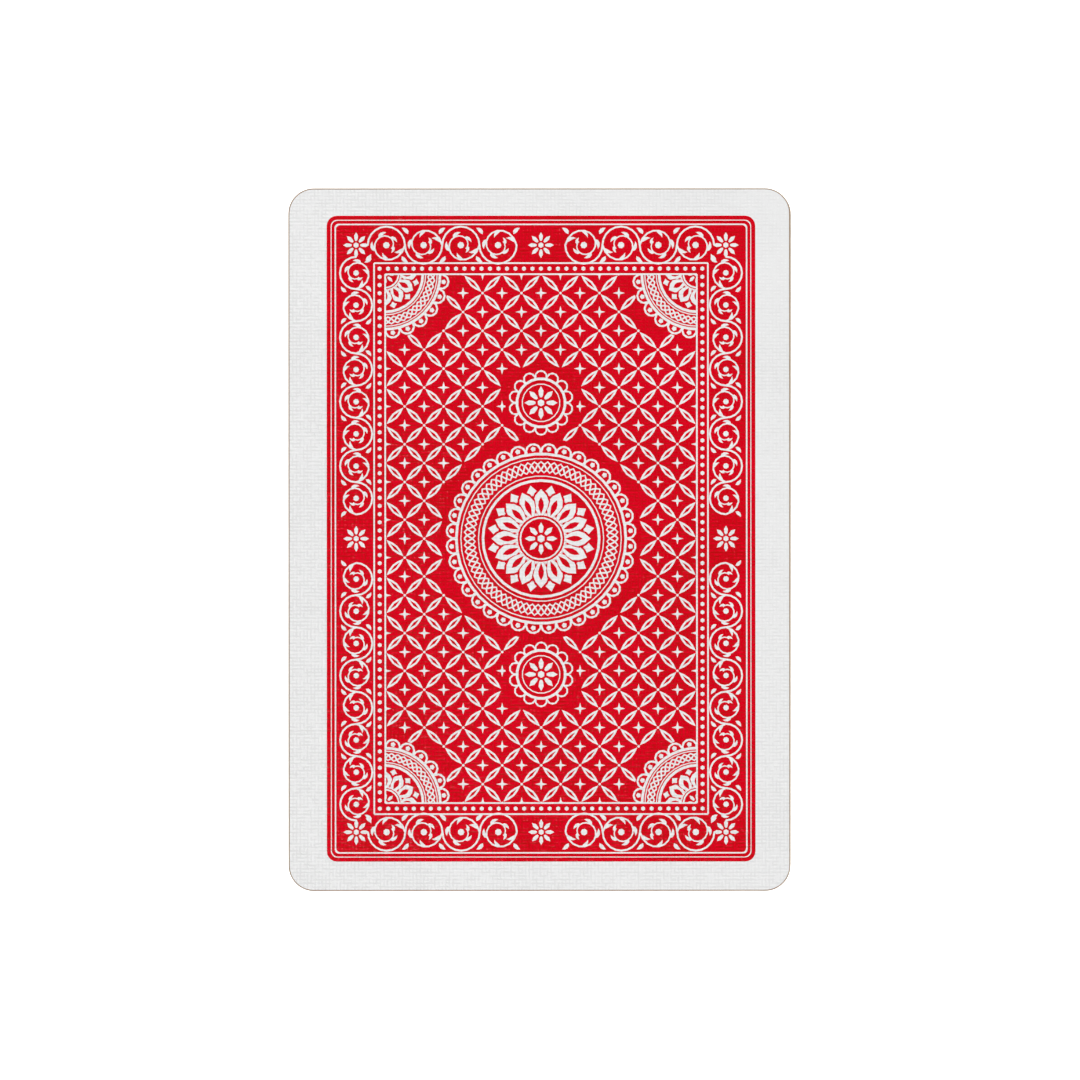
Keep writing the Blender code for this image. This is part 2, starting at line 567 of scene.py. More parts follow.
def back_print():
    """The red back: a medallion on a lattice of petals, with quarter medallions and a vine round it."""
    back = bpy.context.scene.deck_back
    pens = (back.hairline, back.line, back.bold_line)
    half = Vector((back.field_width / 2, back.field_length / 2))

    def edge(inset, radius=0.4 * MM):
        return rounded_rectangle(half.x - inset, half.y - inset, max(radius, WELD), 5)

    def ruled(inset, width, radius):
        return [("stock", edge(inset - width / 2, radius)), ("red", edge(inset + width / 2, radius))]

    vine_inset = back.band_inset + back.band_width / 2
    bead_inset = back.band_inset + back.band_width + back.bead_band / 2
    panel_inset = bead_inset + back.bead_band / 2
    vine_corner = half - Vector((vine_inset, vine_inset))
    bead_corner = half - Vector((bead_inset, bead_inset))
    panel_corner = half - Vector((panel_inset, panel_inset))

    pendant_height = 1.12 * back.medallion_radius + 1.26 * back.pendant_radius
    clearings = (
        ((0.0, 0.0), 1.16 * back.medallion_radius),
        ((0.0, pendant_height), 1.4 * back.pendant_radius),
        (tuple(panel_corner), 1.2 * back.corner_radius),
    )
    panel = four_ways(lattice_quarter(*panel_corner, back.lattice_pitch, clearings))
    # The corner medallions reach a little past their quarter, under the band
    over = 0.2
    quarter = (math.pi - over, 3 * QUARTER + over)
    panel += four_ways(medallion(pens, tuple(panel_corner), back.corner_radius, *quarter, 24, 12))
    for side in (1, -1):
        panel += rosette(pens, (0.0, side * pendant_height), back.pendant_radius, 14, 8)
    panel += medallion(pens, (0.0, 0.0), back.medallion_radius, 0.0, math.tau, 36, 16)

    # The band is laid over the panel's edges, as four red strips
    strips = []
    clear = half - Vector((back.band_inset, back.band_inset))
    for x, y, far_x, far_y in (
        (panel_corner.x, -clear.y, clear.x, clear.y),
        (-clear.x, panel_corner.y, clear.x, clear.y),
    ):
        strips.append(("red", [(x, y), (far_x, y), (far_x, far_y), (x, far_y)]))
        strips.append(("red", [(-x, -y), (-far_x, -y), (-far_x, -far_y), (-x, -far_y)]))

    vine = vine_run(back.line * 1.15, vine_corner, False, 0.5 * back.band_width)
    vine += vine_run(back.line * 1.15, vine_corner, True, 0.5 * back.band_width)
    for at in ((0.0, vine_corner.y), (vine_corner.x, 0.0), tuple(vine_corner)):
        vine += flower("stock", "red", at, 0.36 * back.band_width, 8)
    beads = []
    for axis in (0, 1):
        count = round(bead_corner[axis] / back.bead_pitch)
        for i in range(count + axis):
            away = bead_corner[axis] * i / count
            at = (away, bead_corner.y) if axis == 0 else (bead_corner.x, away)
            beads.append(("stock", disc(at, 0.27 * back.bead_pitch, 6)))

    shapes = [("red", edge(0.0, back.field_corner))]
    shapes += ruled(0.57 * MM, 0.8 * back.hairline, 0.8 * MM)
    shapes += ruled(1.1 * MM, 0.9 * back.line, 0.5 * MM)
    shapes += panel + strips + four_ways(vine + beads)
    for inset in (back.band_inset + back.band_width, panel_inset):
        reach = half - Vector((inset, inset))
        for side in (1, -1):
            shapes.append(("stock", line([(-reach.x, side * reach.y), (reach.x, side * reach.y)], back.line)))
            shapes.append(("stock", line([(side * reach.x, -reach.y), (side * reach.x, reach.y)], back.line)))
    return placed(shapes, (back.shift_right, back.shift_up))


# The faces


def heart_pip(ink, count=28):
    outline = []
    for i in range(count):
        t = math.tau * i / count
        height = 13 * math.cos(t) - 5 * math.cos(2 * t) - 2 * math.cos(3 * t) - math.cos(4 * t)
        outline.append((16 * math.sin(t) ** 3 / 30, (height + 2.5) / 29))
    return [(ink, outline)]


def diamond_pip(ink):
    outline = []
    for i in range(24):
        c, s = math.cos(math.tau * i / 24), math.sin(math.tau * i / 24)
        outline.append((math.copysign(abs(c) ** 2.2, c) * 0.42, math.copysign(abs(s) ** 2.2, s) * 0.54))
    return [(ink, outline)]


def stem(ink):
    """The foot that a spade and a club stand on."""
    widths = [0.05 + 0.32 * (i / 5) ** 2 for i in range(6)]
    return [(ink, stroke([(0.0, 0.08 - 0.58 * i / 5) for i in range(6)], widths))]


def spade_pip(ink, count=28):
    (_, heart), = heart_pip(ink, count)
    return [(ink, [(0.98 * x, 0.06 - 0.88 * y) for x, y in heart])] + stem(ink)


def club_pip(ink):
    lobes = [(ink, disc(at, 0.225, 20)) for at in ((0.0, 0.275), (-0.235, -0.09), (0.235, -0.09))]
    return lobes + [(ink, disc((0.0, 0.03), 0.12, 8))] + stem(ink)


PIPS = {"hearts": heart_pip, "diamonds": diamond_pip, "spades": spade_pip, "clubs": club_pip}


def suit_ink(suit):
    return "red" if suit in RED_SUITS else "black"


@functools.cache
def letter_outlines(letters):
    """Outlines of letters one unit tall round (0, 0), in Blender's own font.

    The largest comes first, and each has True before it if it is a hole.
    """
    curve = bpy.data.curves.new("letters", "FONT")
    curve.body = letters
    text = bpy.data.objects.new("letters", curve)
    bpy.context.scene.collection.objects.link(text)
    drawn = text.to_curve(bpy.context.evaluated_depsgraph_get())
    outlines = []
    for spline in drawn.splines:
        knots = list(spline.bezier_points)
        points = []
        for knot, after in zip(knots, knots[1:] + knots[:1]):
            points += interpolate_bezier(knot.co, knot.handle_right, after.handle_left, after.co, 5)[:-1]
        outlines.append([(p.x, p.y) for p in points])
    text.to_curve_clear()
    bpy.data.objects.remove(text)
    bpy.data.curves.remove(curve)
    xs, ys = zip(*(p for outline in outlines for p in outline))
    middle = ((min(xs) + max(xs)) / 2, (min(ys) + max(ys)) / 2)
    tall = max(ys) - min(ys)
    outlines.sort(key=lambda outline: -abs(twice_area(outline)))
    solid = twice_area(outlines[0]) > 0
    return [
        (
            (twice_area(outline) > 0) != solid,
            cleaned([((x - middle[0]) / tall, (y - middle[1]) / tall) for x, y in outline], SHORTEST_EDGE),
        )
        for outline in outlines
    ]


def index_print(label, pip, ink):
    """The number or letter and the small pip in two opposite corners."""
    face = bpy.context.scene.deck_faces
    letters = [
        ("stock", grown(outline, -LETTER_WEIGHT)) if hole else (ink, grown(outline, LETTER_WEIGHT))
        for hole, outline in letter_outlines(label)
    ]
    x, y = CARD_WIDTH / 2 - face.index_side, CARD_LENGTH / 2 - face.index_end
    pip_y = y - face.index_height / 2 - 0.62 * face.small_pip
    shapes = []
    for side, turn in ((1, 0.0), (-1, math.pi)):
        shapes += placed(letters, (-side * x, side * y), face.index_height, turn)
        shapes += placed(pip, (-side * x, side * pip_y), face.small_pip, turn)
    return shapes


def number_face(rank, suit):
    """A number card's pips in their rows, the lower ones turned about."""
    face = bpy.context.scene.deck_faces
    ink = suit_ink(suit)
    pip = PIPS[suit](ink)
    shapes = index_print(LABELS[rank], pip, ink)
    for across, along in PIP_PLACES[rank]:
        at = (across * face.column, along * face.row)
        shapes += placed(pip, at, face.pip_height, math.pi if along < 0 else 0.0)
    return shapes


def ace_face(suit):
    """One large pip, and on the ace of spades a larger one with a flower cut into it."""
    face = bpy.context.scene.deck_faces
    ink = suit_ink(suit)
    pip = PIPS[suit](ink)
    shapes = index_print(LABELS["ace"], pip, ink)
    if suit != "spades":
        return shapes + placed(pip, (0.0, 0.0), 1.5 * face.pip_height)
    size = 3.1 * face.pip_height
    shapes += placed(spade_pip(ink, 72), (0.0, 0.0), size)
    shapes += placed(spade_pip("stock", 72)[:1], (0.0, 0.012 * size), 0.86 * size)
    shapes += placed(spade_pip(ink, 72)[:1], (0.0, 0.014 * size), 0.82 * size)
    shapes += flower("stock", ink, (0.0, -0.02 * size), 0.2 * size, 10)
    for side in (1, -1):
        for k in range(4):
            angle = QUARTER + side * (0.35 + 0.5 * k)
            at = polar((0.0, -0.02 * size), 0.24 * size, angle)
            shapes += curl("stock", at, angle + side * 0.9, 0.13 * size, -side * 2.4, 0.018 * size)
    return shapes


def king_crest():
    """A spiked crown with a cross, one unit wide, on a jewelled band."""
    shapes = outlined("yellow", box(0, 0.86, 0.035, 0.14), 0.02)
    shapes += outlined("yellow", box(0, 0.9, 0.11, 0.035), 0.02)
    spikes = both_sides([(0.4, 0.06), (0.56, 0.6), (0.33, 0.34), (0.28, 0.68), (0.13, 0.36), (0.0, 0.74)])
    shapes += outlined("yellow", spikes, 0.022)
    for x, y in ((0.56, 0.62), (0.28, 0.7), (-0.28, 0.7), (-0.56, 0.62)):
        shapes += outlined("red", disc((x, y), 0.055, 10), 0.02)
    for x, y in ((0.36, 0.24), (0.2, 0.22), (0.0, 0.24), (-0.2, 0.22), (-0.36, 0.24)):
        shapes.append(("blue", lozenge(x, y, 0.03, 0.1)))
    shapes += outlined("red", box(0, 0.05, 0.43, 0.075), 0.022)
    return shapes + [("yellow", disc((0.16 * k, 0.05), 0.045, 8)) for k in (-2, -1, 0, 1, 2)]


def queen_crest():
    """A coronet of leaves and pearls, one unit wide, on a jewelled band."""
    shapes = []
    for k in (-2, 2, -1, 1, 0):
        angle = QUARTER - 0.36 * k
        frond = leaf((0.19 * k, 0.06), angle, 0.68 - 0.05 * abs(k), 0.26, fullness=1.2)
        shapes += outlined("yellow", frond, 0.022)
        shapes.append(("red", leaf(polar((0.19 * k, 0.06), 0.2, angle), angle, 0.34, 0.1, count=4)))
    for k in (-1.5, -0.5, 0.5, 1.5):
        shapes += outlined("stock", disc(polar((0.19 * k, 0.06), 0.52, QUARTER - 0.36 * k), 0.05, 10), 0.02)
    shapes += outlined("blue", box(0, 0.05, 0.43, 0.075), 0.022)
    return shapes + [("yellow", lozenge(0.16 * k, 0.05, 0.06, 0.05)) for k in (-2, -1, 0, 1, 2)]


def jack_crest():
    """A soft cap with a feather, one unit wide, on a plain band."""
    shapes = outlined("red", leaf((0.3, 0.12), 1.9, 0.95, 0.3, 1.5, count=9, fullness=1.0), 0.022)
    for k in range(6):
        quill = sweep((0.3, 0.12), 1.9, 0.95, 1.5, 9)[2 + k]
        shapes.append(("stock", leaf(quill, 2.5 + 0.2 * k, 0.13, 0.025, count=3)))
    cap = both_sides([(0.4, 0.1), (0.54, 0.22), (0.54, 0.36), (0.42, 0.47), (0.2, 0.5), (0.0, 0.47)])
    shapes += outlined("blue", cap, 0.022)
    for k in (-3, -1, 1, 3):
        shapes.append(("yellow", leaf((0.1 * k, 0.16), QUARTER - 0.25 * k, 0.24, 0.05, count=4)))
    shapes += outlined("yellow", box(0, 0.08, 0.42, 0.06), 0.022)
    return shapes + [("black", disc((0.14 * k, 0.08), 0.022, 6)) for k in (-2, -1, 0, 1, 2)]


CRESTS = {"king": king_crest, "queen": queen_crest, "jack": jack_crest}


def staff(rank):
    """What stands crossed behind a court card's shield, in millimetres: a sceptre, a flower or a spear."""
    foot, heading = (-4.5, 4.0), 0.8
    run = 24.0
    head = polar(foot, run, heading)
    shaft_ink = "blue" if rank == "queen" else "yellow"
    shapes = [("black", line([foot, head], 1.3)), (shaft_ink, line([foot, head], 0.8))]
    if rank == "king":
        shapes += outlined("yellow", disc(head, 1.7, 14), 0.25)
        shapes.append(("red", disc(head, 0.9, 10)))
    elif rank == "queen":
        for k in range(4):
            at = polar(foot, run - 3.0 - 2.2 * k, heading)
            shapes += outlined("blue", leaf(at, heading + (0.9 if k % 2 else -0.9), 3.0, 1.2), 0.15)
        shapes += flower("red", "yellow", head, 2.6, 8, 0.42)
    else:
        shapes += outlined("blue", leaf(polar(head, -2.2, heading), heading, 5.2, 2.6, fullness=0.7), 0.25)
        guard = [polar(head, -2.2, heading + side * QUARTER) for side in (-1, 1)]
        shapes += outlined("red", line(guard, 0.7), 0.2)
    return shapes


def court_half(rank, pip):
    """The upper half of a court card's panel, in millimetres: a crest above a shield with its pip."""
    right = staff(rank)
    shapes = right + [(ink, [(-x, y) for x, y in outline]) for ink, outline in right]
    for side in (1, -1):
        shapes += placed(coil("blue", (0.0, 0.0), 2.7, QUARTER, -side, 1.1, 0.5), (side * 15.2, 7.0))
    shield = (0.0, 11.6)
    for i in range(18):
        lobe = disc(polar(shield, 7.6, math.tau * i / 18), 1.35, 12)
        shapes += outlined("red" if i % 2 else "yellow", lobe, 0.2)
    shapes += outlined("blue", disc(shield, 7.4, 32), 0.2)
    shapes += [("yellow", disc(polar(shield, 6.65, math.tau * i / 24), 0.36, 6)) for i in range(24)]
    shapes += outlined("stock", disc(shield, 5.9, 28), 0.2)
    shapes += placed(pip, shield, 8.2)
    shapes += placed(CRESTS[rank](), (0.0, 20.2), 12.5)
    return shapes + placed(pip, (-14.6, 28.6), 7.4)


def court_face(rank, suit):
    """A framed panel that reads the same from both ends, parted by a sash."""
    face = bpy.context.scene.deck_faces
    ink = suit_ink(suit)
    pip = PIPS[suit](ink)
    wide, tall = face.panel_width / 2, face.panel_length / 2
    shapes = index_print(LABELS[rank], pip, ink)
    for inset, line_ink in ((0.0, "blue"), (0.25 * MM, "stock"), (0.75 * MM, "blue"), (0.87 * MM, "stock")):
        shapes.append((line_ink, box(0, 0, wide - inset, tall - inset)))
    half = court_half(rank, pip)
    shapes += placed(half, (0, 0), MM) + placed(half, (0, 0), MM, math.pi)
    sash = outlined("yellow", box(0, 0, wide - 0.87 * MM, 2.7 * MM), 0.2 * MM)
    for side in (1, -1):
        sash.append(("black", box(0, side * 2.2 * MM, wide - 0.87 * MM, 0.08 * MM)))
    for k in range(-4, 5):
        sash.append(("blue" if k % 2 else "red", lozenge(4.2 * k * MM, 0, 1.9 * MM, 1.7 * MM)))
        sash.append(("stock", lozenge(4.2 * k * MM, 0, 0.7 * MM, 0.6 * MM)))
    return shapes + sash


def star(ink, points=5, depth=0.4):
    """A star one unit tall, standing on two of its points."""
    count = 2 * points
    reaches = [0.5 * (depth if i % 2 else 1) for i in range(count)]
    return [(ink, [polar((0, 0), reaches[i], QUARTER + math.tau * i / count) for i in range(count)])]


def joker_face(inks):
    """A cap with three horns and bells, between stars. The inks are for its left, right and middle horns."""
    face = bpy.context.scene.deck_faces
    left, right, middle, trim = inks
    cap = []
    for ink, start, heading, turn in (
        (left, (-0.14, 0.1), 2.0, 2.6),
        (right, (0.14, 0.1), math.pi - 2.0, -2.6),
        (middle, (0.0, 0.1), 1.8, -1.3),
    ):
        path = sweep(start, heading, 0.8, turn, 10)
        widths = [0.03 + 0.34 * (1 - i / 10) ** 0.8 for i in range(11)]
        cap.append(("black", stroke(path, [width + 0.04 for width in widths])))
        cap.append((ink, stroke(path, widths)))
        cap += outlined(trim, disc(path[-1], 0.065, 12), 0.02)
        cap.append(("black", disc(path[-1], 0.022, 6)))
    collar = [(0.3, 0.02), (0.52, -0.34), (0.26, -0.16), (0.2, -0.42), (0.08, -0.2), (0.0, -0.46)]
    cap += outlined(left, both_sides(collar), 0.02)
    for x, y in ((0.52, -0.34), (0.2, -0.42), (0.0, -0.46), (-0.2, -0.42), (-0.52, -0.34)):
        cap += outlined(trim, disc((x, y), 0.04, 10), 0.018)
    cap += outlined(trim, box(0, 0.03, 0.34, 0.055), 0.02)
    cap += [("black", lozenge(0.12 * k, 0.03, 0.04, 0.035)) for k in (-2, -1, 0, 1, 2)]
    shapes = placed(cap, (0, 0), 2.4 * face.pip_height)
    x, y = CARD_WIDTH / 2 - face.index_side, CARD_LENGTH / 2 - face.index_end
    for side, turn in ((1, 0.0), (-1, math.pi)):
        shapes += placed(star(right), (-side * x, side * y), face.index_height, turn)
        shapes += placed(star("black"), (0, side * 0.92 * face.row), 0.5 * face.pip_height, turn)
    return shapes


# From a print to a card


def sides(corners):
    return zip(corners, [*corners[1:], corners[0]])


def paint(outline, shapes):
    """Cuts a sheet into triangles of one ink each. Returns its points, triangles, their inks and its edge.

    The first pass splits all shapes where they cross and asks which one lies on top. The second pass keeps
    only the lines where the ink changes, so that nothing hidden is left in the mesh.
    """
    layers = [("stock", outline), *shapes]
    points, faces = [], []
    for _, shape in layers:
        turned = shape if twice_area(shape) > 0 else shape[::-1]
        faces.append(list(range(len(points), len(points) + len(turned))))
        points += [Vector(p) for p in turned]
    spots, _, triangles, sources, _, covers = delaunay_2d_cdt(points, [], faces, 1, WELD, True)
    inks = {}
    for triangle, cover in zip(triangles, covers):
        if 0 in cover:
            for side in sides(triangle):
                inks[side] = layers[max(cover)][0]
    borders = [
        (a, b) for (a, b), ink in inks.items()
        if inks.get((b, a)) != ink and (a < b or (b, a) not in inks)
    ]
    kept = sorted({spot for border in borders for spot in border})
    number = {spot: n for n, spot in enumerate(kept)}
    links = [(number[a], number[b]) for a, b in borders]
    kept_spots = [spots[spot] for spot in kept]
    flat, _, pieces, origins, _, _ = delaunay_2d_cdt(kept_spots, links, [], 1, WELD / 10, True)
    spot_of = [kept[origin[0]] for origin in origins]

    # Triangles beside such a line take its ink, and hand it on to those that no line parts from them
    inked, waiting, across = {}, [], {}
    bounds = {*borders, *((b, a) for a, b in borders)}
    for n, piece in enumerate(pieces):
        for side in sides([spot_of[corner] for corner in piece]):
            across[side] = n
            if side in bounds and n not in inked:
                inked[n] = inks[side]
                waiting.append(n)
    while waiting:
        n = waiting.pop()
        for a, b in sides([spot_of[corner] for corner in pieces[n]]):
            other = across.get((b, a))
            if other is not None and other not in inked and (a, b) not in bounds:
                inked[other] = inked[n]
                waiting.append(other)
    first = {}
    for n, spot in enumerate(spot_of):
        for source in sources[spot]:
            first[source] = n
    rim = [first[i] for i in range(len(outline))]
    return [tuple(p) for p in flat], pieces, [inked[n] for n in range(len(pieces))], rim


def card_outline(inset):
    board = bpy.context.scene.deck_board
    inset += board.allowance
    return rounded_rectangle(CARD_WIDTH / 2 - inset, CARD_LENGTH / 2 - inset, board.corner_radius - inset)


@functools.cache
def painted_back():
    return paint(card_outline(bpy.context.scene.deck_board.rim_width), back_print())


def rim_profile():
    """(inset, depth, run) from the printed side to the cut edge, with run measured along the roll-over."""
    board = bpy.context.scene.deck_board
    profile, run = [], 0.0
    for i in range(4):
        turn = QUARTER * i / 3
        inset, depth = board.rim_width * (1 - math.sin(turn)), board.rim_drop * (1 - math.cos(turn))
        if profile:
            run += math.hypot(inset - profile[-1][0], depth - profile[-1][1])
        profile.append((inset, depth, run))
    return profile


def on_map(x, y, island):
    """A point's place on the card's map, with the back on its left half and the face on its right."""
    margin = 1.02
    return (0.25 + 0.5 * island + 0.5 * x / (margin * CARD_WIDTH), 0.5 + y / (margin * CARD_LENGTH))


def inked_mesh(name, points, faces, inks, maps):
    """A mesh whose faces are in their inks' materials, with the place of each corner on the map."""
    mesh = bpy.data.meshes.new(name)
    mesh.from_pydata(points, [], faces)
    used = [ink for ink in INKS if ink in set(inks)]
    for ink in used:
        mesh.materials.append(INKS[ink]())
    mesh.polygons.foreach_set("material_index", [used.index(ink) for ink in inks])
    mesh.polygons.foreach_set("use_smooth", [ink == "edge" for ink in inks])
    layer = mesh.uv_layers.new(name="OFBake")
    layer.uv.foreach_set("vector", [value for place in maps for value in place])
    mesh.update()
    return mesh


def card_mesh(name, face_shapes):
    """One card: the painted back and face, joined by a rolled-over edge round the cut."""
    board = bpy.context.scene.deck_board
    rim_width = board.rim_width
    face_spots, face_triangles, face_inks, face_rim = paint(card_outline(rim_width), face_shapes)
    back_spots, back_triangles, back_inks, back_rim = painted_back()
    half = CARD_THICKNESS / 2 - board.allowance
    points = [(x, y, half) for x, y in back_spots]
    places = [on_map(x, y, 0) for x, y in back_spots]
    faces, inks, maps = [], [], []

    def add(corners, ink, corner_places):
        faces.append(corners)
        inks.append(ink)
        maps.extend(corner_places)

    for triangle, ink in zip(back_triangles, back_inks):
        add(triangle, ink, [places[corner] for corner in triangle])
    first = len(points)
    points += [(-x, y, -half) for x, y in face_spots]
    places = [on_map(x, y, 1) for x, y in face_spots]
    for triangle, ink in zip(face_triangles, face_inks):
        add([first + corner for corner in triangle], ink, [places[corner] for corner in triangle])

    profile = rim_profile()
    top, bottom = [list(back_rim)], [[first + corner for corner in face_rim]]
    for inset, depth, _ in profile[1:]:
        for rings, side in ((top, 1), (bottom, -1)):
            rings.append(list(range(len(points), len(points) + len(back_rim))))
            points += [(side * x, y, side * (half - depth)) for x, y in card_outline(inset)]
    runs = [run for _, _, run in profile]
    count = len(back_rim)
    # The face's rings run the other way round, seen from above, because the face is turned over
    over = [(count // 2 - 1 - i) % count for i in range(count)]
    wall = 2 * (half - profile[-1][1])
    strips = [(top[k], top[k + 1], runs[k], runs[k + 1], 0) for k in range(len(profile) - 1)]
    strips += [(bottom[k], bottom[k + 1], runs[k], runs[k + 1], 1) for k in range(len(profile) - 1)]
    strips.append((top[-1], [bottom[-1][i] for i in over], runs[-1], runs[-1] + wall, 0))
    for near, far, near_run, far_run, island in strips:
        near_map = [on_map(x, y, island) for x, y in card_outline(rim_width - near_run)]
        far_map = [on_map(x, y, island) for x, y in card_outline(rim_width - far_run)]
        for i in range(count):
            j = (i + 1) % count
            corner_places = [near_map[i], far_map[i], far_map[j], near_map[j]]
            add([near[i], far[i], far[j], near[j]], "edge", corner_places)
    return inked_mesh(name, points, faces, inks, maps)


def lay_card(node, face_shapes):
    """Puts a printed card in the place of the frame's plain one."""
    mesh = card_mesh(node, face_shapes)
    if node != TOP_CARD:
        # Seen from above, the loosely squared cards then hide under the top one, which is the largest piece
        trimmed = 1 - 2 * bpy.context.scene.deck_board.lower_trim / CARD_WIDTH
        mesh.transform(Matrix.Diagonal((trimmed, trimmed, 1.0, 1.0)))
    piece = bpy.data.objects.new(f"printed_{node}", mesh)
    piece.location, piece.rotation_euler.z = lie(node)
    bpy.context.scene.collection.objects.link(piece)
    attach(piece, node)
    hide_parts(node)


# Materials


def add_node(tree, kind, inputs=None, **settings):
    """Adds one node, with its settings, and fills or links its inputs by name or number."""
    node = tree.nodes.new(kind)
    for name, value in settings.items():
        setattr(node, name, value)
    for key, value in (inputs or {}).items():
        if isinstance(value, bpy.types.NodeSocket):
            tree.links.new(value, node.inputs[key])
        else:
            node.inputs[key].default_value = value
    return node


def new_material(name):
    """A material with nothing but its shader, and that shader's node tree."""
    material = bpy.data.materials.new(name)
    material.use_nodes = True
    return material, material.node_tree, material.node_tree.nodes["Principled BSDF"]


# The embossed threads, weft and then warp: the axis they follow one another along, how their slubs are drawn
# out, how far they wander in thread pitches and how strongly they stand out
THREADS = (
    ("Y", (0.6, 1.2, 1.0), 0.6, 0.62),
    ("X", (1.2, 0.6, 1.0), 1.0, 0.6),
)
SLUB_RANGE = (0.4, 0.62)  # the noise where a thread fades out and where it is thickest
WARP_SHARE = 0.6  # how strongly the warp shows beside the weft
WARP_CUT = 0.8  # how deeply it breaks the weft's line
# The tones a thread gives are painted highlight on it and painted shade beside it
TONE_GAIN = 0.7  # how far a thread takes the colour from sunk to raised
GLOSS_SPREAD = 0.05  # how much smoother a raised thread is, and how much rougher a sunk one

# The threads stand out more towards the near left, by these shares from the middle to an edge, and in patches
RELIEF_SLOPE = (-0.32 / (CARD_WIDTH / 2), -0.3 / (CARD_LENGTH / 2), 0.0)
PATCHINESS = 0.8
CLOUDINESS = 0.8  # how far the board's cloudy patches take the colour from sunk to raised

# A water-based coating's index is about 1.5 and its roughness about 0.4. These are matched to the object
COATING_IOR = 1.36
STOCK_ROUGHNESS = 0.28
INK_ROUGHNESS = 0.27

# The cut edge: the paste between the plies, and the fibres. Real fibres are about 0.02 mm thick, too fine to
# show, so they are drawn coarser
PASTE_HALF, PASTE_FADED = 0.008 * MM, 0.022 * MM
PASTE_SHARE = 0.7
FIBRE_SIZE = 0.6 * MM
NAP_DEPTH = 0.02 * MM
EDGE_ROUGHNESS = 0.85
EDGE_IOR = 1.45


def woven_threads(tree, place, pitch):
    """The height of threads that cross as in cloth, each of them uneven along its length."""
    threads = add_node(
        tree, "ShaderNodeVectorMath", {0: place, "Scale": 1 / pitch}, operation="SCALE"
    ).outputs["Vector"]
    weft_and_warp = []
    for axis, stretch, wander, weight in THREADS:
        drawn_out = add_node(tree, "ShaderNodeVectorMath", {0: threads, 1: stretch}, operation="MULTIPLY")
        slub = add_node(
            tree, "ShaderNodeTexNoise", {"Vector": drawn_out.outputs[0], "Scale": 1.0, "Detail": 3.0}
        )
        lean = add_node(
            tree, "ShaderNodeVectorMath", {0: slub.outputs["Color"], 1: (wander,) * 3, 2: threads},
            operation="MULTIPLY_ADD",
        )
        across = add_node(tree, "ShaderNodeSeparateXYZ", {0: lean.outputs[0]}).outputs[axis]
        turn = add_node(tree, "ShaderNodeMath", {0: across, 1: math.tau}, operation="MULTIPLY")
        wave = add_node(tree, "ShaderNodeMath", {0: turn.outputs[0]}, operation="SINE")
        pull = add_node(
            tree, "ShaderNodeMapRange",
            {0: slub.outputs["Fac"], 1: SLUB_RANGE[0], 2: SLUB_RANGE[1], 3: 0.0, 4: 2 * weight},
        )
        thread = add_node(
            tree, "ShaderNodeMath", {0: wave.outputs[0], 1: pull.outputs[0]}, operation="MULTIPLY"
        )
        weft_and_warp.append(thread.outputs[0])
    # Where a warp thread crosses, it breaks the weft's line into dashes
    weft, warp = weft_and_warp
    breaks = add_node(tree, "ShaderNodeMath", {0: warp, 1: WARP_CUT, 2: 1.0}, operation="MULTIPLY_ADD")
    dashes = add_node(tree, "ShaderNodeMath", {0: weft, 1: breaks.outputs[0]}, operation="MULTIPLY")
    return add_node(
        tree, "ShaderNodeMath", {0: warp, 1: WARP_SHARE, 2: dashes.outputs[0]}, operation="MULTIPLY_ADD"
    ).outputs[0]


def linen_board(name, dark, light, roughness):
    """Coated board that was run through a linen-engraved roller after printing.

    The eye gets fine crossing threads, uneven as in woven cloth, that catch the light on their far sides. The
    colour is also painted lighter on the threads and darker between them, as painted highlight and painted
    shade of the relief.
    """
    board = bpy.context.scene.deck_board
    material, tree, shader = new_material(name)
    place = add_node(tree, "ShaderNodeTexCoord").outputs["Object"]
    woven = woven_threads(tree, place, board.linen_pitch)
    # The threads stand out unevenly, and the board is a little cloudy
    cloud = add_node(
        tree, "ShaderNodeTexNoise", {"Vector": place, "Scale": 1 / board.cloud_size, "Detail": 2.0}
    ).outputs["Fac"]
    slope = add_node(tree, "ShaderNodeVectorMath", {0: place, 1: RELIEF_SLOPE}, operation="DOT_PRODUCT")
    patchy = add_node(
        tree, "ShaderNodeMath", {0: cloud, 1: PATCHINESS, 2: 1 - PATCHINESS / 2}, operation="MULTIPLY_ADD"
    )
    relief_gain = add_node(
        tree, "ShaderNodeMath", {0: slope.outputs["Value"], 1: patchy.outputs[0]}, operation="ADD"
    )
    weave = add_node(
        tree, "ShaderNodeMath", {0: woven, 1: relief_gain.outputs[0]}, operation="MULTIPLY"
    ).outputs[0]
    shade = add_node(
        tree, "ShaderNodeMath", {0: cloud, 1: -CLOUDINESS, 2: 0.5 + CLOUDINESS / 2}, operation="MULTIPLY_ADD"
    )
    raised = add_node(
        tree, "ShaderNodeMath", {0: weave, 1: TONE_GAIN, 2: shade.outputs[0]},
        operation="MULTIPLY_ADD", use_clamp=True,
    ).outputs[0]
    # Painted highlight on the threads and painted shade between them, with the board's cloudy tone
    tone = add_node(tree, "ShaderNodeMix", {0: raised, 6: dark, 7: light}, data_type="RGBA")
    tree.links.new(tone.outputs[2], shader.inputs["Base Color"])
    gloss = add_node(
        tree, "ShaderNodeMapRange", {0: raised, 3: roughness + GLOSS_SPREAD, 4: roughness - GLOSS_SPREAD}
    )
    tree.links.new(gloss.outputs[0], shader.inputs["Roughness"])
    relief = add_node(
        tree, "ShaderNodeBump", {"Strength": 1.0, "Distance": board.linen_depth, "Height": weave}
    )
    tree.links.new(relief.outputs[0], shader.inputs["Normal"])
    shader.inputs["IOR"].default_value = COATING_IOR
    return material


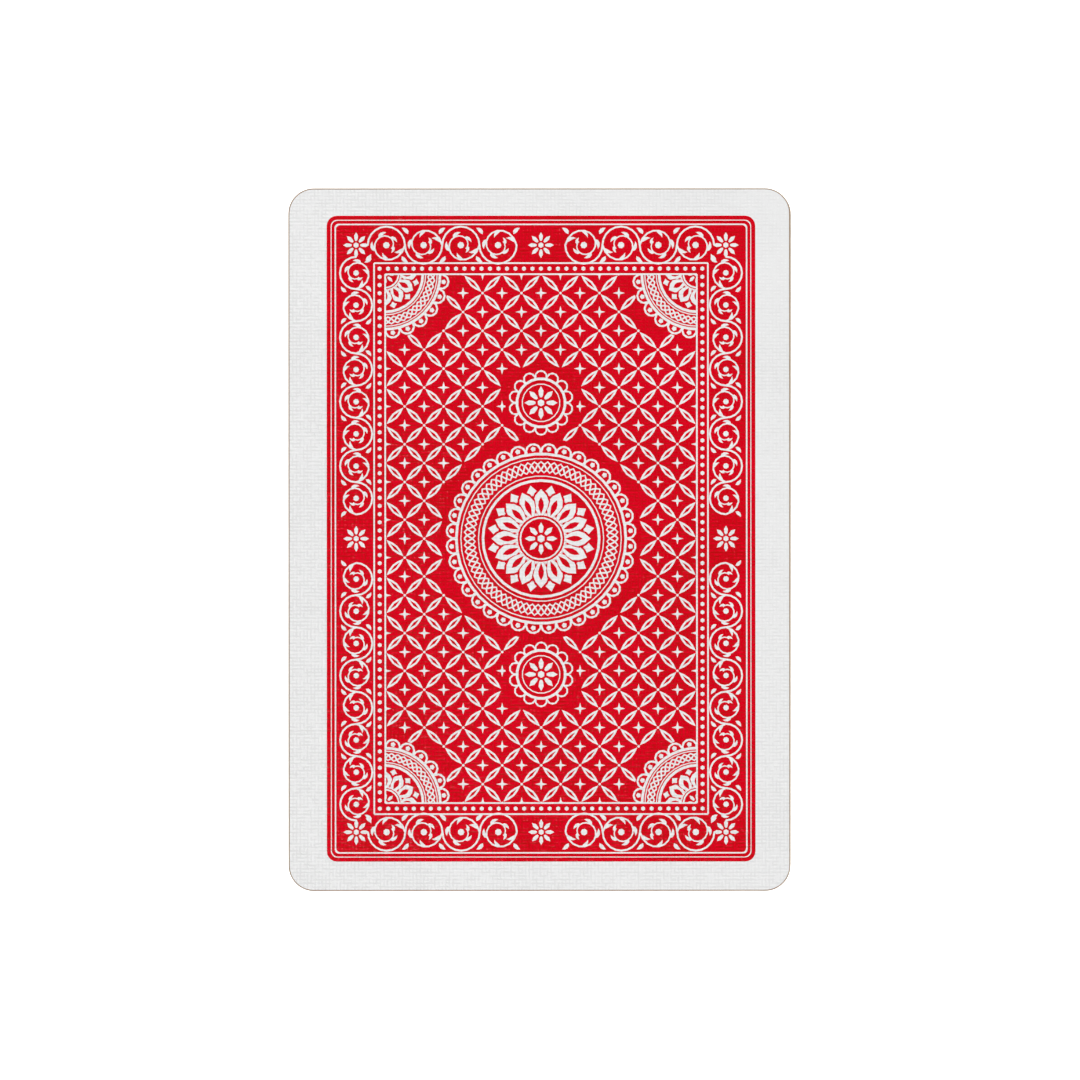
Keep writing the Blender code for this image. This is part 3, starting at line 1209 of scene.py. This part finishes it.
@functools.cache
def coated_board():
    """Bleached board under a clear water-based coating: a cool white with a low, even gloss."""
    board = bpy.context.scene.deck_board
    dark, light = tuple(board.stock_dark), tuple(board.stock_light)
    return linen_board("coated_board_linen_embossed", dark, light, STOCK_ROUGHNESS)


@functools.cache
def red_ink():
    """Offset red under the same coating: deep and even, with specks of painted highlight on the threads."""
    back = bpy.context.scene.deck_back
    dark, light = tuple(back.red_dark), tuple(back.red_light)
    return linen_board("offset_red_linen_embossed", dark, light, INK_ROUGHNESS)


@functools.cache
def black_ink():
    """Offset black under the same coating, a shade off full black."""
    face = bpy.context.scene.deck_faces
    dark, light = tuple(face.black_dark), tuple(face.black_light)
    return linen_board("offset_black_linen_embossed", dark, light, INK_ROUGHNESS)


@functools.cache
def yellow_ink():
    """Offset yellow of the court cards: warm and flat, as it prints in one pass under the coating."""
    face = bpy.context.scene.deck_faces
    dark, light = tuple(face.yellow_dark), tuple(face.yellow_light)
    return linen_board("offset_yellow_linen_embossed", dark, light, INK_ROUGHNESS)


@functools.cache
def blue_ink():
    """Offset blue of the court cards: a cool middle tone that keeps clear of the black lines round it."""
    face = bpy.context.scene.deck_faces
    dark, light = tuple(face.blue_dark), tuple(face.blue_light)
    return linen_board("offset_blue_linen_embossed", dark, light, INK_ROUGHNESS)


@functools.cache
def cut_edge():
    """Bare board where the die cut it: matt tan fibres round a thin line of paste, with painted shade on the
    rolled-over rim.
    """
    board = bpy.context.scene.deck_board
    material, tree, shader = new_material("die_cut_board_edge")
    place = add_node(tree, "ShaderNodeTexCoord").outputs["Object"]
    fibres = add_node(tree, "ShaderNodeTexNoise", {"Vector": place, "Scale": 1 / FIBRE_SIZE, "Detail": 4.0})
    # The fibre noise gives both the nap's bump and the tone, so the low fibres are dark: random tone with
    # painted shade
    tone = add_node(
        tree, "ShaderNodeMix",
        {0: fibres.outputs["Fac"], 6: tuple(board.edge_dark), 7: tuple(board.edge_light)}, data_type="RGBA",
    )
    height = add_node(tree, "ShaderNodeSeparateXYZ", {0: place}).outputs["Z"]
    off_core = add_node(tree, "ShaderNodeMath", {0: height}, operation="ABSOLUTE").outputs[0]
    paste = add_node(
        tree, "ShaderNodeMapRange", {0: off_core, 1: PASTE_HALF, 2: PASTE_FADED, 3: PASTE_SHARE, 4: 0.0}
    )
    layered = add_node(
        tree, "ShaderNodeMix",
        {0: paste.outputs[0], 6: tone.outputs[2], 7: tuple(board.core_colour)}, data_type="RGBA",
    )
    # Painted shade: past the arris, the rolled-over rim takes the darker colour
    arris = CARD_THICKNESS / 2 - board.rim_drop
    rim_shade_share = add_node(tree, "ShaderNodeMapRange", {0: off_core, 1: arris, 2: arris + 0.4 * board.rim_drop})
    rim_shaded_tone = add_node(
        tree, "ShaderNodeMix",
        {0: rim_shade_share.outputs[0], 6: layered.outputs[2], 7: tuple(board.shaded_rim_colour)}, data_type="RGBA",
    )
    tree.links.new(rim_shaded_tone.outputs[2], shader.inputs["Base Color"])
    nap = add_node(
        tree, "ShaderNodeBump", {"Strength": 0.6, "Distance": NAP_DEPTH, "Height": fibres.outputs["Fac"]}
    )
    tree.links.new(nap.outputs[0], shader.inputs["Normal"])
    shader.inputs["Roughness"].default_value = EDGE_ROUGHNESS
    shader.inputs["IOR"].default_value = EDGE_IOR
    return material


INKS = {
    "stock": coated_board,
    "edge": cut_edge,
    "red": red_ink,
    "black": black_ink,
    "yellow": yellow_ink,
    "blue": blue_ink,
}


def light_table():
    """Opal acrylic lit from below: an even pale glow that takes only a faint shadow."""
    stage = bpy.context.scene.deck_stage
    material, _, shader = new_material("opal_acrylic_light_table")
    shader.inputs["Base Color"].default_value = stage.floor_colour
    shader.inputs["Roughness"].default_value = 0.7
    shader.inputs["Emission Color"].default_value = stage.floor_colour
    shader.inputs["Emission Strength"].default_value = stage.floor_glow
    return material


# Operators, stage and panel


class PrintNumberCards(bpy.types.Operator):
    """Prints the aces and number cards of all four suits"""

    bl_idname = "deck.print_number_cards"
    bl_label = "Number cards"

    def execute(self, context):
        for node in frame["nodes"]:
            rank, _, suit = node.partition("_of_")
            if rank == "ace":
                lay_card(node, ace_face(suit))
            elif rank in PIP_PLACES:
                lay_card(node, number_face(rank, suit))
        return {"FINISHED"}


class PrintCourtCards(bpy.types.Operator):
    """Prints the jacks, queens and kings"""

    bl_idname = "deck.print_court_cards"
    bl_label = "Court cards"

    def execute(self, context):
        for node in frame["nodes"]:
            rank, _, suit = node.partition("_of_")
            if rank in COURT_RANKS:
                lay_card(node, court_face(rank, suit))
        return {"FINISHED"}


class PrintJokers(bpy.types.Operator):
    """Prints the two jokers"""

    bl_idname = "deck.print_jokers"
    bl_label = "Jokers"

    def execute(self, context):
        lay_card("joker_black", joker_face(("stock", "black", "stock", "stock")))
        lay_card("joker_red", joker_face(("blue", "red", "yellow", "yellow")))
        return {"FINISHED"}


def softbox(name, azimuth, power):
    """A square lamp that faces the deck from one side."""
    stage = bpy.context.scene.deck_stage
    lamp = bpy.data.lights.new(name, "AREA")
    lamp.energy, lamp.size = power, stage.light_size
    light = bpy.data.objects.new(name, lamp)
    out = stage.light_distance * math.cos(stage.light_height)
    up = stage.light_distance * math.sin(stage.light_height)
    light.location = (*polar((0.0, 0.0), out, azimuth), up)
    light.rotation_euler = light.location.to_track_quat("Z", "Y").to_euler()
    bpy.context.scene.collection.objects.link(light)


def studio_surround():
    """A white surround that darkens from eye level up."""
    stage = bpy.context.scene.deck_stage
    eye_level, overhead = 0.1, 0.8
    world = bpy.data.worlds.new("studio_surround")
    world.use_nodes = True
    tree = world.node_tree
    way = add_node(tree, "ShaderNodeTexCoord").outputs["Generated"]
    up = add_node(tree, "ShaderNodeSeparateXYZ", {0: way}).outputs["Z"]
    glow = add_node(
        tree, "ShaderNodeMapRange", {0: up, 1: eye_level, 2: overhead, 3: stage.sky_edge, 4: stage.sky_top}
    )
    tree.links.new(glow.outputs[0], tree.nodes["Background"].inputs["Strength"])
    tree.nodes["Background"].inputs["Color"].default_value = (1.0, 1.0, 1.0, 1.0)
    return world


class SetStage(bpy.types.Operator):
    """Sets up the camera straight above the top card, the light table, four softboxes and the surround"""

    bl_idname = "deck.set_stage"
    bl_label = "Stage"

    def execute(self, context):
        stage = context.scene.deck_stage
        middle, _ = lie(TOP_CARD)
        camera = bpy.data.objects.new("camera", bpy.data.cameras.new("camera"))
        camera.data.lens = stage.lens
        rise = stage.frame_width * stage.lens / camera.data.sensor_width
        camera.location = (middle.x + stage.aim_right, middle.y - stage.aim_near, CAD_BOX[1].z + rise)
        context.scene.collection.objects.link(camera)
        context.scene.camera = camera

        bpy.ops.mesh.primitive_circle_add(vertices=96, radius=stage.floor_size, fill_type="NGON")
        floor = context.object
        floor.name = "light_table"
        floor.data.materials.append(light_table())

        softbox("far_softbox", QUARTER, stage.far_power)
        softbox("near_softbox", -QUARTER, stage.near_power)
        softbox("right_softbox", 0.0, stage.side_power)
        softbox("left_softbox", math.pi, stage.side_power)

        context.scene.world = studio_surround()
        context.scene.view_settings.view_transform = "Standard"
        return {"FINISHED"}


class DeckPanel(bpy.types.Panel):
    """Lists the deck's operators and settings"""

    bl_idname = "VIEW3D_PT_card_deck"
    bl_label = "Card Deck"
    bl_space_type = "VIEW_3D"
    bl_region_type = "UI"
    bl_category = "Card Deck"

    def draw(self, context):
        for operator in OPERATORS:
            self.layout.operator(operator.bl_idname)
        for name, group in SETTINGS.items():
            column = self.layout.box()
            for value in group.__annotations__:
                column.prop(getattr(context.scene, name), value)


SETTINGS = {
    "deck_board": BoardSettings,
    "deck_back": BackSettings,
    "deck_faces": FaceSettings,
    "deck_stage": StageSettings,
}
OPERATORS = (PrintNumberCards, PrintCourtCards, PrintJokers, SetStage)


def register():
    for name, group in SETTINGS.items():
        bpy.utils.register_class(group)
        setattr(bpy.types.Scene, name, PointerProperty(type=group))
    for made in (*OPERATORS, DeckPanel):
        bpy.utils.register_class(made)


def unregister():
    for made in (DeckPanel, *reversed(OPERATORS)):
        bpy.utils.unregister_class(made)
    for name, group in reversed(SETTINGS.items()):
        delattr(bpy.types.Scene, name)
        bpy.utils.unregister_class(group)


def main():
    register()
    bpy.ops.deck.set_stage()
    bpy.ops.deck.print_number_cards()
    bpy.ops.deck.print_court_cards()
    bpy.ops.deck.print_jokers()


if __name__ == "__main__":
    main()
